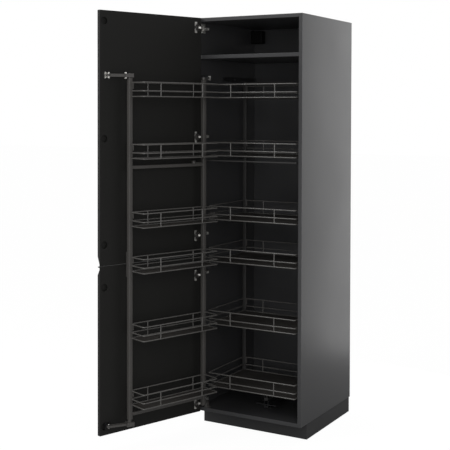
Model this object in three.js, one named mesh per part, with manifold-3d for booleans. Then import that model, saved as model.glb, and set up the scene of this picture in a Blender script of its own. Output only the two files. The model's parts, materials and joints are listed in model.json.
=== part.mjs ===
// Tall larder cabinet with a swing-out front basket frame and a pull-out rear basket frame.
// Millimetres, +Z up. The part's origin is the middle of the front plinth board's underside,
// +X is to the right seen from the front, and +Y runs to the back. The door stands open.
// Everything is laid out first in cabinet coordinates: X from the left side panel's outer face,
// Y from the carcass's front edge, Z from the floor. The last group shifts it all to the origin.
import * as THREE from "three";
import { mergeVertices } from "three/addons/utils/BufferGeometryUtils.js";
import Module from "manifold-3d";

const wasm = await Module();
wasm.setup();

// ---- Driving dimensions -------------------------------------------------------------------

const GAP = 0.3; // clearance between pieces that touch

const CARCASS_WIDTH = 600;
const CARCASS_DEPTH = 600;
const CARCASS_HEIGHT = 2000;
const PLINTH_HEIGHT = 80;
const BOARD = 18; // carcass board thickness
const BACK_BOARD = 6;
const BACK_INSET = 8; // the back board stands this far inside the rear edge
const SHELF_TOP = 1892;
const SHELF_SETBACK = 8;

const PLINTH_BOARD = 16;
const PLINTH_RECESS = 79;
const PLINTH_SIDE_INSET = 5;
const PLINTH_CLEARANCE = 1;

const DOOR_WIDTH = 597;
const DOOR_THICKNESS = 20;
const DOOR_STANDOFF = 3; // from the carcass front to the closed door's inner face
const DOOR_REVEAL = 1.5; // what the closed door leaves of the carcass edge all round
const DOOR_SPLIT = 880; // height of the joint between the upper and the lower door
const DOOR_SPLIT_GAP = 3;
const GRIP_DEPTH = 16; // how deep the bevelled finger grip at the split goes

const OPEN_ANGLE = 110; // how far the door and the front frame have swung out
const LINK_ANGLE = 58; // how far each hinge link turns meanwhile, the other way
const LINK_PIVOT = [42, 3]; // link's pivot in the hinge arm
const CUP_PIVOT = [13, -6]; // link's pivot in the cup, with the door closed

const HINGE_HEIGHTS = [2029, 1478, 980, 779, 123];
const CUP_RADIUS = 17.5;
const CUP_DEPTH = 12.5;
const CUP_FROM_EDGE = 24;

const FRAME_TUBE = 20;
const FRAME_PIVOT = [60, 14]; // vertical axis of the front frame, inside the left front corner
const FRAME_INNER_POST = [79, -52]; // inner post's centre with the frame swung out
const FRAME_POST_SPACING = 442;
const FRAME_FOOT = 128;
const FRAME_HEAD = 1764;

const BASKET_TOPS = [1742, 1451, 1130, 917, 600, 283]; // heights of the top rails' centres
const RAIL_DROPS = [0, 40, 66]; // top, middle and bottom rail below the top rail
const WIRE = 6; // rail and strut thickness
const TRAY = 3; // tray sheet thickness

const FRONT_BASKET_DEPTH = 107; // from the posts' plane to the near rail's centre
const REAR_POSTS_X = [90, 564];
const REAR_POSTS_Y = 357; // with the rear frame pulled out
const REAR_FRONT_Y = -8; // rear baskets' front rail, pulled out
const REAR_FOOT = 140;

const STAY_ON_DOOR = [560, 38]; // stay's pivot on the door, along it and out from its outer face

const DEG = Math.PI / 180;

// ---- Solids and materials -----------------------------------------------------------------

/** A closed three.js geometry as a manifold solid. */
function solid(geometry) {
  const bare = geometry.clone();
  bare.deleteAttribute("normal");
  bare.deleteAttribute("uv");
  const welded = mergeVertices(bare, 1e-4);
  return new wasm.Manifold(new wasm.Mesh({
    numProp: 3,
    vertProperties: new Float32Array(welded.attributes.position.array),
    triVerts: new Uint32Array(welded.index.array),
  }));
}

/** A box between two corners. */
function block(low, high) {
  const size = high.map((value, axis) => value - low[axis]);
  const geometry = new THREE.BoxGeometry(...size);
  geometry.translate(...low.map((value, axis) => value + size[axis] / 2));
  return solid(geometry);
}

/** A cylinder standing on the XY plane's point (x, y) from height z0 to z1. */
function drum(x, y, z0, z1, radius, sides = 16) {
  const geometry = new THREE.CylinderGeometry(radius, radius, z1 - z0, sides);
  geometry.rotateX(Math.PI / 2);
  geometry.translate(x, y, (z0 + z1) / 2);
  return solid(geometry);
}

/** A cylinder lying along Y at (x, z) from y0 to y1. */
function peg(x, z, y0, y1, radius, sides = 16) {
  const geometry = new THREE.CylinderGeometry(radius, radius, y1 - y0, sides);
  geometry.translate(x, (y0 + y1) / 2, z);
  return solid(geometry);
}

/** An outline in the XY plane given a height from z0 to z1. */
function slab(points, z0, z1) {
  const shape = new THREE.Shape(points.map(([x, y]) => new THREE.Vector2(x, y)));
  const geometry = new THREE.ExtrudeGeometry(shape, { depth: z1 - z0, bevelEnabled: false });
  geometry.translate(0, 0, z0);
  return solid(geometry);
}

/** Several solids joined into one. */
function joined(parts) {
  return parts.reduce((sum, part) => sum.add(part));
}

/** A solid with several others cut from it. */
function cut(body, tools) {
  return tools.reduce((rest, tool) => rest.subtract(tool), body);
}

function finish(color, roughness, metalness) {
  return new THREE.MeshStandardMaterial({ color, roughness, metalness });
}

const LAMINATE = finish(0x3a3a3c, 0.6, 0);
const DOOR_FOIL = finish(0x23231f, 0.55, 0);
const PLINTH_FOIL = finish(0x2b2b2b, 0.6, 0);
const COATED_STEEL = finish(0x4f4d4b, 0.45, 0.4);
const DARK_STEEL = finish(0x252525, 0.5, 0.5);
const NICKEL = finish(0xc9c7c2, 0.25, 1);
const BLACK_PLASTIC = finish(0x0b0b0b, 0.5, 0);

/** Adds a solid to a group as a named mesh, and returns the mesh. */
function place(group, name, body, material) {
  const { vertProperties, triVerts } = body.getMesh();
  const geometry = new THREE.BufferGeometry();
  geometry.setAttribute("position", new THREE.Float32BufferAttribute(vertProperties, 3));
  geometry.setIndex(Array.from(triVerts));
  geometry.computeVertexNormals();
  const mesh = new THREE.Mesh(geometry, material);
  mesh.name = name;
  group.add(mesh);
  return mesh;
}

const cabinet = new THREE.Group();

// ---- Carcass ------------------------------------------------------------------------------

const carcassTop = PLINTH_HEIGHT + CARCASS_HEIGHT;
const insideLeft = BOARD + GAP;
const insideRight = CARCASS_WIDTH - BOARD - GAP;
const floorTop = PLINTH_HEIGHT + BOARD;
const ceiling = carcassTop - BOARD;
const backFace = CARCASS_DEPTH - BACK_INSET - BACK_BOARD;

function buildCarcass() {
  const side = (x) => block([x, 0, PLINTH_HEIGHT], [x + BOARD, CARCASS_DEPTH, carcassTop]);
  const level = (front, back, low, high) => block([insideLeft, front, low], [insideRight, back, high]);
  place(cabinet, "left_side_panel", side(0), LAMINATE);
  place(cabinet, "right_side_panel", side(CARCASS_WIDTH - BOARD), LAMINATE);
  place(cabinet, "bottom_panel", level(0, CARCASS_DEPTH, PLINTH_HEIGHT, floorTop), LAMINATE);
  place(cabinet, "top_panel", level(0, CARCASS_DEPTH, ceiling, carcassTop), LAMINATE);
  place(cabinet, "back_panel",
    level(backFace, backFace + BACK_BOARD, floorTop + GAP, ceiling - GAP), LAMINATE);
  place(cabinet, "fixed_shelf",
    level(SHELF_SETBACK, backFace - GAP, SHELF_TOP - BOARD, SHELF_TOP), LAMINATE);
}

/** Rounded plastic covers over the wall-hanging fittings in the two upper back corners. */
function buildHangerCovers() {
  const width = 69;
  const depth = 44;
  const round = 6;
  const low = 1984;
  const high = ceiling - 9;
  const rear = backFace - GAP;
  for (const [name, wall, inward] of [["left", insideLeft, 1], ["right", insideRight, -1]]) {
    const outline = [
      [wall, rear], [wall, rear - depth],
      [wall + inward * (width - round), rear - depth],
      [wall + inward * width, rear - depth + round],
      [wall + inward * width, rear],
    ];
    const points = inward > 0 ? outline.reverse() : outline;
    place(cabinet, `${name}_hanger_cover`, slab(points, low, high), BLACK_PLASTIC);
  }
}

/** Four screw-in plastic legs, each turned: foot, stem and top flange. */
function buildLegs() {
  const fromSide = 60;
  const rows = [["front", 140], ["back", CARCASS_DEPTH - 60]];
  const top = PLINTH_HEIGHT - GAP;
  const profile = [[0, 0], [30, 0], [30, 5], [15, 12], [15, top - 6], [26, top - 6], [26, top], [0, top]];
  const lathe = new THREE.LatheGeometry(profile.map(([r, z]) => new THREE.Vector2(r, z)), 12);
  lathe.rotateX(Math.PI / 2);
  const columns = [["left", fromSide], ["right", CARCASS_WIDTH - fromSide]];
  for (const [row, y] of rows) {
    for (const [column, x] of columns) {
      place(cabinet, `leg_${row}_${column}`, solid(lathe), BLACK_PLASTIC).position.set(x, y, 0);
    }
  }
}

function buildPlinth() {
  const top = PLINTH_HEIGHT - PLINTH_CLEARANCE;
  const left = PLINTH_SIDE_INSET;
  const right = CARCASS_WIDTH - PLINTH_SIDE_INSET;
  const rear = PLINTH_RECESS + PLINTH_BOARD;
  place(cabinet, "front_plinth", block([left, PLINTH_RECESS, 0], [right, rear, top]), PLINTH_FOIL);
  const runs = [["left", left], ["right", right - PLINTH_BOARD]];
  for (const [name, x] of runs) {
    const body = block([x, rear + GAP, 0], [x + PLINTH_BOARD, CARCASS_DEPTH, top]);
    place(cabinet, `${name}_plinth`, body, PLINTH_FOIL);
  }
}

buildCarcass();
buildHangerCovers();
buildLegs();
buildPlinth();

// ---- Where the open door stands -----------------------------------------------------------

/** Turns the offset (x, y) by an angle in degrees, anticlockwise seen from above. */
function turned([x, y], degrees) {
  const c = Math.cos(degrees * DEG);
  const s = Math.sin(degrees * DEG);
  return [c * x - s * y, s * x + c * y];
}

// The closed door's outer left corner, and where it goes as the links and the door turn.
const closedCorner = [DOOR_REVEAL, -DOOR_STANDOFF - DOOR_THICKNESS];
const linkClosed = [CUP_PIVOT[0] - LINK_PIVOT[0], CUP_PIVOT[1] - LINK_PIVOT[1]];
const linkOpen = turned(linkClosed, LINK_ANGLE);
const cupOpen = [LINK_PIVOT[0] + linkOpen[0], LINK_PIVOT[1] + linkOpen[1]];
const cupInDoor = [CUP_PIVOT[0] - closedCorner[0], CUP_PIVOT[1] - closedCorner[1]];
const cornerOffset = turned([-cupInDoor[0], -cupInDoor[1]], -OPEN_ANGLE);
const doorCorner = [cupOpen[0] + cornerOffset[0], cupOpen[1] + cornerOffset[1]];

// In the door's group, X runs along the door from its hinge edge and Y from its outer face inwards.
const door = new THREE.Group();
door.position.set(doorCorner[0], doorCorner[1], 0);
door.rotation.z = -OPEN_ANGLE * DEG;
cabinet.add(door);

// ---- Concealed hinges ---------------------------------------------------------------------

const LINK_HALF = 4.5; // half the link's height
const EYE = 4.3; // outer radius of the knuckles
const PIN = 1.6;

/** The arm on its mounting plate, forked round the link, with the link's pin. */
function hingeArm(z) {
  const [px, py] = LINK_PIVOT;
  const forkLow = LINK_HALF + GAP;
  const forkHigh = forkLow + 2;
  const plate = block([insideLeft, 24, z - 24], [insideLeft + 2.5, 58, z + 24]);
  const body = block([insideLeft + 2, 22, z - forkHigh], [34, 76, z + forkHigh]);
  const outline = [
    [30, 30], [24, 30], [24, 24], [px - EYE, py + 3], [px - EYE, py], [px, py - EYE],
    [px + EYE, py], [px + EYE, py + 2], [34, 22],
  ];
  const ear = (low, high) => slab(outline, low, high);
  const ears = [ear(z - forkHigh, z - forkLow), ear(z + forkLow, z + forkHigh)];
  const pin = drum(px, py, z - forkHigh, z + forkHigh, PIN, 8);
  return joined([plate, body, ...ears, pin]);
}

/** The curved link strap from the arm's pin to the cup's pin, round the door's edge. */
function hingeLink(z) {
  const half = 1.6;
  const span = Math.hypot(...linkOpen);
  const centre = [[0, 0], [1.5, 6], [8, 8.2], [21, 7.2], [span, 0]];
  const axis = [-linkOpen[0] / span, -linkOpen[1] / span];
  const right = [axis[1], -axis[0]];
  const onPlan = ([along, out]) => [
    cupOpen[0] + axis[0] * along + right[0] * out,
    cupOpen[1] + axis[1] * along + right[1] * out,
  ];
  const straps = centre.slice(1).map((end, index) => {
    const [ax, ay] = onPlan(centre[index]);
    const [bx, by] = onPlan(end);
    const length = Math.hypot(bx - ax, by - ay);
    const geometry = new THREE.BoxGeometry(length + half, 2 * half, 2 * LINK_HALF);
    geometry.rotateZ(Math.atan2(by - ay, bx - ax));
    geometry.translate((ax + bx) / 2, (ay + by) / 2, z);
    return solid(geometry);
  });
  const armEye = drum(...LINK_PIVOT, z - LINK_HALF, z + LINK_HALF, 3.7, 10);
  const cupEye = drum(...cupOpen, z - LINK_HALF, z + LINK_HALF, 2.4, 8);
  const armHole = drum(...LINK_PIVOT, z - LINK_HALF - 1, z + LINK_HALF + 1, PIN + 0.4, 8);
  return cut(joined([...straps, armEye, cupEye]), [armHole]);
}

/** The pressed cup with its screw flange, in the door's coordinates. */
function hingeCup(z) {
  const mouth = DOOR_THICKNESS + GAP;
  const bottom = DOOR_THICKNESS - CUP_DEPTH + GAP;
  const cup = peg(CUP_FROM_EDGE, z, bottom, mouth + 1.4, CUP_RADIUS - GAP);
  const flange = block([CUP_FROM_EDGE - 4, mouth, z - 28], [CUP_FROM_EDGE + 16, mouth + 1.4, z + 28]);
  const well = peg(CUP_FROM_EDGE, z, bottom + 1, mouth + 3, CUP_RADIUS - 1.3);
  // The rim is notched on both sides, where the link strap lies with the door open and closed.
  const notch = (x0, x1, from) => block([x0, from, z - 7], [x1, mouth + 3, z + 7]);
  const edge = CUP_FROM_EDGE - CUP_RADIUS - 1;
  const openSide = notch(edge, CUP_FROM_EDGE, DOOR_THICKNESS - 0.5);
  const closedSide = notch(CUP_FROM_EDGE, CUP_FROM_EDGE + CUP_RADIUS + 2, mouth - 0.1);
  return cut(joined([cup, flange]), [well, openSide, closedSide]);
}

HINGE_HEIGHTS.forEach((z, index) => {
  place(cabinet, `hinge_arm_${index + 1}`, hingeArm(z), NICKEL);
  place(cabinet, `hinge_link_${index + 1}`, hingeLink(z), NICKEL);
  place(door, `hinge_cup_${index + 1}`, hingeCup(z), NICKEL);
});

// ---- Doors --------------------------------------------------------------------------------

/** A door outline across its thickness, from (depth, height) points, run along the door's width. */
function doorBoard(outline) {
  const shape = new THREE.Shape(outline.map(([y, z]) => new THREE.Vector2(y, z)));
  const geometry = new THREE.ExtrudeGeometry(shape, { depth: DOOR_WIDTH, bevelEnabled: false });
  // The outline's X becomes the door's Y, its Y becomes Z, and the run goes along X.
  const basis = new THREE.Matrix4().makeBasis(
    new THREE.Vector3(0, 1, 0), new THREE.Vector3(0, 0, 1), new THREE.Vector3(1, 0, 0),
  );
  geometry.applyMatrix4(basis);
  return solid(geometry);
}

/** The cup holes at both edges, so that the same board serves either hand. */
function cupHoles(low, high) {
  const depth = DOOR_THICKNESS - CUP_DEPTH;
  const heights = HINGE_HEIGHTS.filter((z) => z > low && z < high);
  return heights.flatMap((z) => [CUP_FROM_EDGE, DOOR_WIDTH - CUP_FROM_EDGE].map(
    (x) => peg(x, z, depth, DOOR_THICKNESS + 1, CUP_RADIUS),
  ));
}

function buildDoors() {
  const top = carcassTop - DOOR_REVEAL;
  const bottom = PLINTH_HEIGHT + DOOR_REVEAL;
  const upperEdge = DOOR_SPLIT + DOOR_SPLIT_GAP / 2;
  const lowerEdge = DOOR_SPLIT - DOOR_SPLIT_GAP / 2;
  const inner = DOOR_THICKNESS;
  const upper = [
    [0, top], [0, upperEdge + 45], [GRIP_DEPTH, upperEdge + 9], [GRIP_DEPTH, upperEdge],
    [inner, upperEdge], [inner, top],
  ];
  const lower = [
    [0, bottom], [inner, bottom], [inner, lowerEdge], [3, lowerEdge], [3, lowerEdge - 5],
    [GRIP_DEPTH, lowerEdge - 5], [GRIP_DEPTH, lowerEdge - 14], [0, lowerEdge - 41],
  ];
  const boards = [
    ["upper_door", upper, upperEdge, top],
    ["lower_door", lower, bottom, lowerEdge],
  ];
  for (const [name, outline, low, high] of boards) {
    place(door, name, cut(doorBoard(outline), cupHoles(low, high)), DOOR_FOIL);
  }
  const face = DOOR_THICKNESS + GAP;
  place(door, "door_joining_plate", block([438, face, 817], [452, face + 3, 937]), COATED_STEEL);
}

buildDoors();

// ---- Front basket frame -------------------------------------------------------------------

// In the frame's group, X runs from the inner post's centre to the outer post and Y towards the
// baskets, so the frame stays parallel to the door.
const frame = new THREE.Group();
frame.position.set(FRAME_INNER_POST[0], FRAME_INNER_POST[1], 0);
frame.rotation.z = -OPEN_ANGLE * DEG;
cabinet.add(frame);

const half = FRAME_TUBE / 2;
const pivotInFrame = turned(
  [FRAME_PIVOT[0] - FRAME_INNER_POST[0], FRAME_PIVOT[1] - FRAME_INNER_POST[1]],
  OPEN_ANGLE,
);
const PIVOT_PIN = 4;
const STAY_PIN = 4;
const OUTER_POST_FOOT = 146; // the outer post ends above the lower stay

/** A flat bar with round ends between two plan points, from height z0 to z1. */
function strap([ax, ay], [bx, by], width, z0, z1) {
  const length = Math.hypot(bx - ax, by - ay);
  const bar = new THREE.BoxGeometry(length, width, z1 - z0);
  bar.rotateZ(Math.atan2(by - ay, bx - ax));
  bar.translate((ax + bx) / 2, (ay + by) / 2, (z0 + z1) / 2);
  return joined([
    solid(bar),
    drum(ax, ay, z0, z1, width / 2, 12),
    drum(bx, by, z0, z1, width / 2, 12),
  ]);
}

function buildFrontFrame() {
  const outer = FRAME_POST_SPACING;
  const post = (x, foot) => block([x - half, -half, foot], [x + half, half, FRAME_HEAD]);
  const bar = (z) => block([0, -7, z - 8], [outer, 7, z + 8]);
  const upperArm = strap([0, 0], pivotInFrame, FRAME_TUBE, FRAME_HEAD - 0.5, FRAME_HEAD + 12);
  const lowerArm = strap([0, 0], pivotInFrame, FRAME_TUBE, FRAME_FOOT, FRAME_FOOT + 12);
  const holes = [
    drum(...pivotInFrame, FRAME_HEAD - 5, FRAME_HEAD + 20, PIVOT_PIN + 0.5),
    drum(...pivotInFrame, FRAME_FOOT - 5, FRAME_FOOT + 20, PIVOT_PIN + 0.5),
    drum(outer, 0, FRAME_HEAD - 16, FRAME_HEAD + 1, STAY_PIN + 0.5),
    drum(outer, 0, OUTER_POST_FOOT - 1, OUTER_POST_FOOT + 16, STAY_PIN + 0.5),
  ];
  const welded = joined([
    post(0, FRAME_FOOT), post(outer, OUTER_POST_FOOT), bar(1342), bar(171), upperArm, lowerArm,
  ]);
  place(frame, "front_frame", cut(welded, holes), COATED_STEEL);
}

/** The cabinet's own half of the front frame's two pivots. */
function buildPivotBrackets() {
  const [px, py] = FRAME_PIVOT;
  const armTop = FRAME_HEAD + 12 + GAP;
  const upper = joined([
    block([insideLeft, 4, armTop - 16], [insideLeft + 3, 66, armTop + 14]),
    block([insideLeft, py - 10, armTop], [px, py + 10, armTop + 5]),
    drum(px, py, armTop, armTop + 5, 10),
    drum(px, py, FRAME_HEAD, armTop + 1, PIVOT_PIN, 12),
  ]);
  const base = floorTop + GAP;
  const lower = joined([
    block([px - 10, 3, base], [px + 18, 27, FRAME_FOOT - GAP]),
    drum(px, py, FRAME_FOOT - 1, FRAME_FOOT + 10, PIVOT_PIN, 12),
  ]);
  place(cabinet, "upper_pivot_bracket", upper, NICKEL);
  place(cabinet, "lower_pivot_bracket", lower, NICKEL);
}

buildFrontFrame();
buildPivotBrackets();

// ---- Telescopic stays between the door and the front frame ---------------------------------

const UPPER_STAY_Z = 1775;
const LOWER_STAY_Z = 126;

/** The stay's run in the frame's coordinates: door pivot, post pivot and its direction. */
function stayRun() {
  const fromDoorX = STAY_ON_DOOR[0] * Math.cos(-OPEN_ANGLE * DEG)
    - STAY_ON_DOOR[1] * Math.sin(-OPEN_ANGLE * DEG);
  const fromDoorY = STAY_ON_DOOR[0] * Math.sin(-OPEN_ANGLE * DEG)
    + STAY_ON_DOOR[1] * Math.cos(-OPEN_ANGLE * DEG);
  const offset = [
    doorCorner[0] + fromDoorX - FRAME_INNER_POST[0],
    doorCorner[1] + fromDoorY - FRAME_INNER_POST[1],
  ];
  const start = turned(offset, OPEN_ANGLE);
  const post = [FRAME_POST_SPACING, 0];
  const angle = Math.atan2(post[1] - start[1], post[0] - start[0]);
  return { start, post, angle, length: Math.hypot(post[0] - start[0], post[1] - start[1]) };
}

/** A group at a plan point of the front frame, with X along the stay towards the post. */
function stayGroup([x, y], angle) {
  const group = new THREE.Group();
  group.position.set(x, y, 0);
  group.rotation.z = angle;
  frame.add(group);
  return group;
}

function buildStays() {
  const { start, post, angle, length } = stayRun();
  const atDoor = stayGroup(start, angle);
  const atPost = stayGroup(post, angle);
  const reach = length + 9; // rod length past the post's pivot
  // Upper stay: an upright flat bar hinged on the door and a short box guide on the post's head.
  const z = UPPER_STAY_Z;
  const rod = cut(
    joined([block([0, -4, z - 7], [reach, 4, z + 7]), drum(0, 0, z - 7, z + 7, 7, 12)]),
    [drum(0, 0, z - 8, z + 8, 3.5, 10)],
  );
  place(atDoor, "upper_stay_rod", rod, COATED_STEEL);
  const guide = cut(
    joined([
      block([-24, -9.5, z - 9], [16, 9.5, z + 9]),
      drum(0, 0, FRAME_HEAD - 12, z - 8, STAY_PIN, 10),
      drum(-20, 0, z - 15, z + 15, 4, 8),
    ]),
    [block([-30, -7.3, z - 7.5], [30, 7.3, z + 7.5])],
  );
  place(atPost, "upper_stay_sleeve", guide, COATED_STEEL);
  // Lower stay: a flat bar hinged on the door and a carriage that carries the outer post's foot.
  const low = LOWER_STAY_Z;
  const bar = cut(
    joined([
      block([0, -11, low - 5], [reach, 11, low + 5]),
      drum(0, 0, low - 5, low + 5, 11, 16),
      drum(reach, 0, low - 5, low + 5, 11, 16),
    ]),
    [drum(0, 0, low - 7, low + 7, 3.5, 10)],
  );
  place(atDoor, "lower_stay_bar", bar, COATED_STEEL);
  const carriage = cut(
    joined([
      block([-18, -19, low - 10], [18, 19, low + 10]),
      drum(0, 0, low + 9, OUTER_POST_FOOT + 12, STAY_PIN, 10),
      drum(0, 0, low + 9, OUTER_POST_FOOT - GAP, 9, 12),
    ]),
    [block([-20, -14.5, low - 6], [20, 14.5, low + 6])],
  );
  place(atPost, "lower_stay_carriage", carriage, COATED_STEEL);
}

/** The two brackets screwed to the door that hold the stays' pins. */
function buildStayBrackets() {
  const [x, y] = STAY_ON_DOOR;
  const face = DOOR_THICKNESS + GAP;
  const brackets = [["upper", UPPER_STAY_Z, 7], ["lower", LOWER_STAY_Z, 5]];
  for (const [name, z, eye] of brackets) {
    const ear = (low) => joined([
      block([x - 7, face, low], [x + 7, y, low + 3]),
      drum(x, y, low, low + 3, 7, 12),
    ]);
    const body = joined([
      block([x - 13, face, z - 15], [x - 7, face + 6, z + 15]),
      block([x + 7, face, z - 15], [x + 13, face + 6, z + 15]),
      block([x - 8, face, z - eye - 3.5], [x + 8, face + 3, z + eye + 3.5]),
      ear(z + eye + GAP),
      ear(z - eye - GAP - 3),
      drum(x, y, z - eye - 3, z + eye + 3, 3, 10),
    ]);
    place(door, `${name}_stay_bracket`, body, COATED_STEEL);
  }
}

buildStays();
buildStayBrackets();

// ---- Baskets ------------------------------------------------------------------------------

/** A rail or strut: a square bar whose centre runs straight between two points. */
function wire(from, to) {
  const low = from.map((value, axis) => Math.min(value, to[axis]) - WIRE / 2);
  const high = from.map((value, axis) => Math.max(value, to[axis]) + WIRE / 2);
  return block(low, high);
}

/**
 * A basket hooked between two posts: rails on the open side and both ends at three heights,
 * rails between the posts, struts, clamp blocks at the posts and a sheet tray notched round them.
 */
function basket({ top, left, right, open, posts, postSide, openStruts, postStruts }) {
  const toward = Math.sign(open - postSide); // from the posts' side towards the open side
  const butt = postSide + toward * (half + GAP + WIRE / 2);
  const between = [posts[0] + half + GAP + WIRE / 2, posts[1] - half - GAP - WIRE / 2];
  const heights = RAIL_DROPS.map((drop) => top - drop);
  const bottom = heights[2];
  const parts = heights.flatMap((z) => [
    wire([left, open, z], [right, open, z]),
    wire([left, butt, z], [left, open, z]),
    wire([right, butt, z], [right, open, z]),
    wire([between[0], postSide, z], [between[1], postSide, z]),
  ]);
  const strut = (x, y) => wire([x, y, bottom], [x, y, top]);
  const span = right - left;
  parts.push(...openStruts.map((share) => strut(left + share * span, open)));
  parts.push(...postStruts.map((share) => strut(left + share * span, postSide)));
  parts.push(...between.map((x, index) => {
    const inward = index === 0 ? 1 : -1;
    return wire([x, postSide + toward * 5, top + 4], [x + inward * 7, postSide, top - 4]);
  }));
  const lowY = Math.min(postSide, open) - WIRE / 2;
  const highY = Math.max(postSide, open) + WIRE / 2;
  const sheet = block(
    [left - WIRE / 2, lowY, bottom - WIRE / 2],
    [right + WIRE / 2, highY, bottom - WIRE / 2 + TRAY],
  );
  const clear = half + GAP;
  const notches = posts.map((x) => block(
    [x - clear, postSide - clear, bottom - WIRE],
    [x + clear, postSide + clear, bottom + WIRE],
  ));
  return cut(joined([...parts, sheet]), notches);
}

BASKET_TOPS.forEach((top, index) => {
  const front = basket({
    top,
    left: -6,
    right: FRAME_POST_SPACING - 6,
    open: FRONT_BASKET_DEPTH,
    posts: [0, FRAME_POST_SPACING],
    postSide: 0,
    openStruts: [0.22, 0.78],
    postStruts: [0.16, 0.78],
  });
  place(frame, `front_basket_${index + 1}`, front, COATED_STEEL);
  const rear = basket({
    top,
    left: REAR_POSTS_X[0] - 7,
    right: REAR_POSTS_X[1] + 7,
    open: REAR_FRONT_Y,
    posts: REAR_POSTS_X,
    postSide: REAR_POSTS_Y,
    openStruts: [0.26, 0.765],
    postStruts: [0.24, 0.76],
  });
  place(cabinet, `rear_basket_${index + 1}`, rear, COATED_STEEL);
});

// ---- Rear basket frame and its runners ----------------------------------------------------

const RUNNER_X = 338; // the floor runner's middle
const SLIDE_FRONT = 136; // front end of the floor runner's slide, pulled out
const MID_RAIL_Z = 1361;

function buildRearFrame() {
  const [left, right] = REAR_POSTS_X;
  const y = REAR_POSTS_Y;
  const post = (x) => block([x - half, y - half, REAR_FOOT], [x + half, y + half, FRAME_HEAD]);
  const crossbar = (z) => block([left, y - 7, z - 7], [right, y + 7, z + 7]);
  const arm = (x) => block([x - 3, REAR_FRONT_Y - 3, MID_RAIL_Z - 6], [x + 3, y, MID_RAIL_Z + 6]);
  const midFront = block(
    [left - 10, REAR_FRONT_Y - 3, MID_RAIL_Z - 6],
    [right + 10, REAR_FRONT_Y + 3, MID_RAIL_Z + 6],
  );
  const beam = block([RUNNER_X - 10, SLIDE_FRONT, REAR_FOOT], [RUNNER_X + 10, y, REAR_FOOT + 14]);
  const prop = drum(RUNNER_X, SLIDE_FRONT + 10, REAR_FOOT + 13, 213, 4, 10);
  place(cabinet, "rear_frame", joined([
    post(left), post(right), crossbar(1757), crossbar(REAR_FOOT + 10),
    arm(left - 7), arm(right + 7), midFront, beam, prop,
  ]), COATED_STEEL);
}

function buildRunners() {
  const base = floorTop + GAP;
  const railStart = SLIDE_FRONT + 18;
  const railEnd = backFace - 3;
  const channel = cut(
    block([RUNNER_X - 17, railStart, base], [RUNNER_X + 17, railEnd, base + 18]),
    [block([RUNNER_X - 13, railStart - 10, base + 4], [RUNNER_X + 13, railEnd + 10, base + 30])],
  );
  place(cabinet, "lower_runner_rail", channel, DARK_STEEL);
  const slideTop = REAR_FOOT - GAP;
  const slide = joined([
    block([RUNNER_X - 12, SLIDE_FRONT, base + 4 + GAP], [RUNNER_X + 12, 384, base + 16]),
    block([RUNNER_X - 57, SLIDE_FRONT, base + 18.5], [RUNNER_X + 57, SLIDE_FRONT + 66, base + 23]),
    block([RUNNER_X - 12, SLIDE_FRONT, base + 15], [RUNNER_X + 12, SLIDE_FRONT + 26, slideTop]),
    block([RUNNER_X - 12, 320, base + 15], [RUNNER_X + 12, 360, slideTop]),
  ]);
  place(cabinet, "lower_runner_slide", slide, DARK_STEEL);
  const railZ = 1768;
  const upper = cut(
    block([insideLeft, 235, railZ], [insideLeft + 14, railEnd, railZ + 22]),
    [block([insideLeft + 4, 230, railZ + 5], [insideLeft + 20, railEnd - 3, railZ + 17])],
  );
  place(cabinet, "upper_runner_rail", upper, DARK_STEEL);
  const y = REAR_POSTS_Y;
  const shoe = joined([
    block([44, y - 12, FRAME_HEAD + GAP], [REAR_POSTS_X[0] + 10, y + 12, FRAME_HEAD + 6]),
    block([insideLeft + 15, y - 12, FRAME_HEAD + GAP], [46, y + 12, railZ + 16]),
    block([insideLeft + 5, y - 14, railZ + 6], [insideLeft + 16, y + 14, railZ + 16]),
  ]);
  place(cabinet, "upper_runner_slide", shoe, DARK_STEEL);
}

buildRearFrame();
buildRunners();

// ---- The whole part, moved to its origin --------------------------------------------------

const part = new THREE.Group();
cabinet.position.set(-CARCASS_WIDTH / 2, -(PLINTH_RECESS + PLINTH_BOARD / 2), 0);
part.add(cabinet);

export default part;
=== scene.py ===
import json
import math

import bmesh
import bpy
import numpy as np
from mathutils import Matrix, Vector
from mathutils.geometry import tessellate_polygon


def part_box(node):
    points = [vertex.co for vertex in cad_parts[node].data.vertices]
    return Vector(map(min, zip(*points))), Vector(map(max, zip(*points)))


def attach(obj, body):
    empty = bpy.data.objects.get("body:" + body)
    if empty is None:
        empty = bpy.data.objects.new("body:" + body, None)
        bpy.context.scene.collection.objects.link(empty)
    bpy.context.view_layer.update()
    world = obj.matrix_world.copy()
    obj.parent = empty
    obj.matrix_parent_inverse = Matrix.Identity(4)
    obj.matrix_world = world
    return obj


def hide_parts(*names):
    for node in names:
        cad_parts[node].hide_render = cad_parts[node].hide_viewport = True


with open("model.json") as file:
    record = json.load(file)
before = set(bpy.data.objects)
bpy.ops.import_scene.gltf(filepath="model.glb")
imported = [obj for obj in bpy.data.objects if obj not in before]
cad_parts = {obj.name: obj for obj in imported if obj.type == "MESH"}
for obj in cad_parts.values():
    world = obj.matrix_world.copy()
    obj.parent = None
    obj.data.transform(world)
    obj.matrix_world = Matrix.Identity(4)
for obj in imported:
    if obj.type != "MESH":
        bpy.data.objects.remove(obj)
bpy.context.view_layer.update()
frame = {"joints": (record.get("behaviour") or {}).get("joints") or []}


# ---- Camera, floor and light ----
# A long lens from the front right at a little under head height, looking at the open side.
# The floor is a wide white sheet, and the light is an even white room with soft boxes in it.

LENS = 77.21
EYE = Vector((2.3254, -4.2514, 1.6069))
YAW = math.radians(29.226)
PITCH = math.radians(1.287)
ROLL = math.radians(0.165)

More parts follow.
